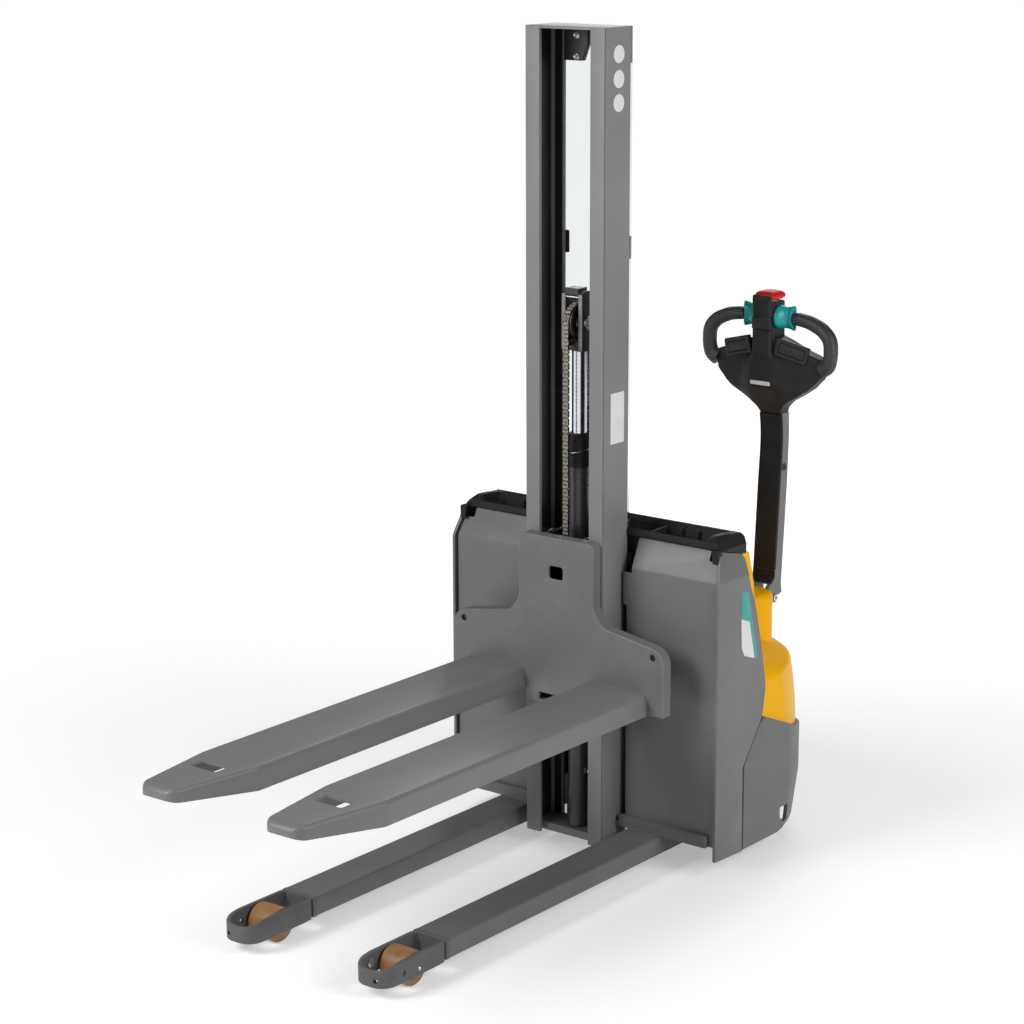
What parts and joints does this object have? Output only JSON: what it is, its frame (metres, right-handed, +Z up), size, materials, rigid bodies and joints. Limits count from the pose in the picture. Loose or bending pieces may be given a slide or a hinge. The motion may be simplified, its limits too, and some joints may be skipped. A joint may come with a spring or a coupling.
{
  "type": "electric stacker",
  "caption": "Walk-behind electric stacker with a single mast, forks over straddle legs, a lift cylinder with chain, a drive unit steered by a tiller, and a castor.",
  "frame": {"origin": "centre of the bounding box on the floor", "axes": "+Z up along the mast, -Y towards the fork tips, +Y towards the operator, +X across"},
  "size_m": [0.808, 1.828, 1.992],
  "materials": {
    "mid_grey_paint": "satin powder coat",
    "light_grey_paint": "satin powder coat",
    "machine_grey": "satin paint",
    "bumper_plastic": "moulded, painted grey",
    "yellow_plastic": "satin gloss",
    "black_plastic": "fine moulded grain",
    "button_plastic": "satin",
    "red_plastic": "gloss",
    "teal_plastic": "satin",
    "clear_sheet": "clear polycarbonate",
    "bright_steel": "ground",
    "bearing_steel": "oiled",
    "chrome_rod": "hard chrome",
    "cylinder_paint": "semi-gloss",
    "chain_steel": "oiled",
    "cast_steel": "painted grey",
    "polyurethane": "amber polyurethane",
    "battery_case": "moulded"
  },
  "bodies": {
    "chassis": {"base_frame": "mid_grey_paint", "support_leg_left": "mid_grey_paint", "support_leg_right": "mid_grey_paint", "leg_tips": "cast_steel", "load_wheel_axles": "bright_steel", "side_plate_left": "light_grey_paint", "side_plate_right": "light_grey_paint", "front_panel_left": "light_grey_paint", "front_panel_right": "light_grey_paint", "rear_bumper": "bumper_plastic", "rear_cover": "yellow_plastic", "storage_tray": "black_plastic", "mast_profile_left": "mid_grey_paint", "mast_profile_right": "mid_grey_paint", "mast_top_plate": "mid_grey_paint", "mast_crossbars": "mid_grey_paint", "stop_block": "black_plastic", "mast_guard": "clear_sheet", "lift_cylinder": "cylinder_paint", "cylinder_gland": "cylinder_paint", "battery": "battery_case", "pump_unit": "machine_grey", "motor_controller": "black_plastic", "hydraulic_pipe": "bright_steel", "slewing_ring": "bearing_steel", "castor_mount": "mid_grey_paint"},
    "carriage": {"carriage_plate": "mid_grey_paint", "roller_carriers": "machine_grey", "fork_left": "light_grey_paint", "fork_right": "light_grey_paint"},
    "rod": {"piston_rod": "chrome_rod", "sheave_bracket": "machine_grey", "sheave_pin": "bright_steel", "lift_chain_front": "chain_steel", "lift_chain_rear": "chain_steel"},
    "sheave": {"chain_sheave": "bearing_steel"},
    "roller_ul": {"roller_upper_left": "bearing_steel"},
    "roller_ur": {"roller_upper_right": "bearing_steel"},
    "roller_ll": {"roller_lower_left": "bearing_steel"},
    "roller_lr": {"roller_lower_right": "bearing_steel"},
    "load_wheel_l": {"load_wheel_left": "polyurethane"},
    "load_wheel_r": {"load_wheel_right": "polyurethane"},
    "steering": {"steering_dome": "yellow_plastic", "drive_gearbox": "machine_grey", "drive_motor": "machine_grey", "tiller_bracket": "black_plastic"},
    "drive": {"drive_wheel": "polyurethane"},
    "tiller": {"tiller_arm": "machine_grey", "tiller_cover": "black_plastic", "control_head": "black_plastic", "handle_grips": "black_plastic"},
    "horn": {"horn_button": "button_plastic"},
    "belly": {"belly_button": "red_plastic"},
    "butterfly": {"butterfly_switch": "teal_plastic"},
    "rocker_l": {"rocker_left": "button_plastic"},
    "rocker_r": {"rocker_right": "button_plastic"},
    "castor": {"castor_fork": "machine_grey"},
    "castor_roll": {"castor_wheel": "polyurethane"},
    "stop_button": {"emergency_stop": "red_plastic"},
    "key": {"key_switch": "bright_steel"}
  },
  "joints": [
    {"name": "fork_lift", "type": "slide", "parent": "chassis", "child": "carriage", "axis": [0, 0, 1], "range_m": [-0.375, 1.125]},
    {"name": "cylinder_stroke", "type": "slide", "parent": "chassis", "child": "rod", "axis": [0, 0, 1], "range_m": [-0.1875, 0.5625], "deforming": ["lift_chain_front", "lift_chain_rear"]},
    {"name": "sheave_spin", "type": "hinge", "parent": "rod", "child": "sheave", "pos_m": [0, 0.326, 1.307], "axis": [1, 0, 0], "range_deg": [-751, 251]},
    {"name": "roller_ul_spin", "type": "hinge", "parent": "carriage", "child": "roller_ul", "pos_m": [-0.088, 0.3255, 0.755], "axis": [1, 0, 0], "range_deg": [-540, 1610]},
    {"name": "roller_ur_spin", "type": "hinge", "parent": "carriage", "child": "roller_ur", "pos_m": [0.088, 0.3255, 0.755], "axis": [1, 0, 0], "range_deg": [-540, 1610]},
    {"name": "roller_ll_spin", "type": "hinge", "parent": "carriage", "child": "roller_ll", "pos_m": [-0.088, 0.3255, 0.485], "axis": [1, 0, 0], "range_deg": [-1610, 540]},
    {"name": "roller_lr_spin", "type": "hinge", "parent": "carriage", "child": "roller_lr", "pos_m": [0.088, 0.3255, 0.485], "axis": [1, 0, 0], "range_deg": [-1610, 540]},
    {"name": "load_wheel_l_spin", "type": "hinge", "parent": "chassis", "child": "load_wheel_l", "pos_m": [-0.1955, -0.557, 0.04], "axis": [1, 0, 0], "continuous": true},
    {"name": "load_wheel_r_spin", "type": "hinge", "parent": "chassis", "child": "load_wheel_r", "pos_m": [0.1955, -0.557, 0.04], "axis": [1, 0, 0], "continuous": true},
    {"name": "steer", "type": "hinge", "parent": "chassis", "child": "steering", "pos_m": [0.215, 0.749, 0.28], "axis": [0, 0, 1], "range_deg": [-90, 90]},
    {"name": "drive_spin", "type": "hinge", "parent": "steering", "child": "drive", "pos_m": [0.215, 0.749, 0.1], "axis": [1, 0, 0], "continuous": true},
    {"name": "tiller_tilt", "type": "hinge", "parent": "steering", "child": "tiller", "pos_m": [0.215, 0.822, 0.568], "axis": [-1, 0, 0], "range_deg": [0, 85], "stiffness_Nm_per_rad": 25, "springref_deg": -34.38},
    {"name": "horn_press", "type": "slide", "parent": "tiller", "child": "horn", "axis": [0, 1, 0], "range_m": [0, 0.0025], "stiffness_N_per_m": 500, "springref_m": -0.001},
    {"name": "belly_press", "type": "slide", "parent": "tiller", "child": "belly", "axis": [0, 0, -1], "range_m": [0, 0.006], "stiffness_N_per_m": 500, "springref_m": -0.004},
    {"name": "butterfly_turn", "type": "hinge", "parent": "tiller", "child": "butterfly", "pos_m": [0.215, 0.822, 1.277], "axis": [1, 0, 0], "range_deg": [-35, 35], "stiffness_Nm_per_rad": 0.8},
    {"name": "rocker_r_press", "type": "hinge", "parent": "tiller", "child": "rocker_r", "pos_m": [0.292, 0.803, 1.198], "axis": [0.2371, 0.0482, 0.9703], "range_deg": [-4, 4], "stiffness_Nm_per_rad": 2},
    {"name": "rocker_l_press", "type": "hinge", "parent": "tiller", "child": "rocker_l", "pos_m": [0.138, 0.803, 1.198], "axis": [-0.2371, 0.0482, 0.9703], "range_deg": [-4, 4], "stiffness_Nm_per_rad": 2},
    {"name": "castor_swivel", "type": "hinge", "parent": "chassis", "child": "castor", "pos_m": [-0.215, 0.749, 0.2], "axis": [0, 0, 1], "continuous": true},
    {"name": "castor_wheel_spin", "type": "hinge", "parent": "castor", "child": "castor_roll", "pos_m": [-0.215, 0.719, 0.065], "axis": [1, 0, 0], "continuous": true},
    {"name": "stop_press", "type": "slide", "parent": "chassis", "child": "stop_button", "axis": [0, 0, -1], "range_m": [0, 0.005]},
    {"name": "key_turn", "type": "hinge", "parent": "chassis", "child": "key", "pos_m": [-0.19, 0.654, 0.5], "axis": [0, 0, 1], "range_deg": [0, 90]}
  ],
  "couplings": [
    {"joint": "cylinder_stroke", "follows": "fork_lift", "ratio": 0.5},
    {"joint": "sheave_spin", "follows": "fork_lift", "rad_per_m": -11.628},
    {"joint": "roller_ul_spin", "follows": "fork_lift", "rad_per_m": 24.876},
    {"joint": "roller_ur_spin", "follows": "fork_lift", "rad_per_m": 24.876},
    {"joint": "roller_ll_spin", "follows": "fork_lift", "rad_per_m": -24.876},
    {"joint": "roller_lr_spin", "follows": "fork_lift", "rad_per_m": -24.876}
  ]
}
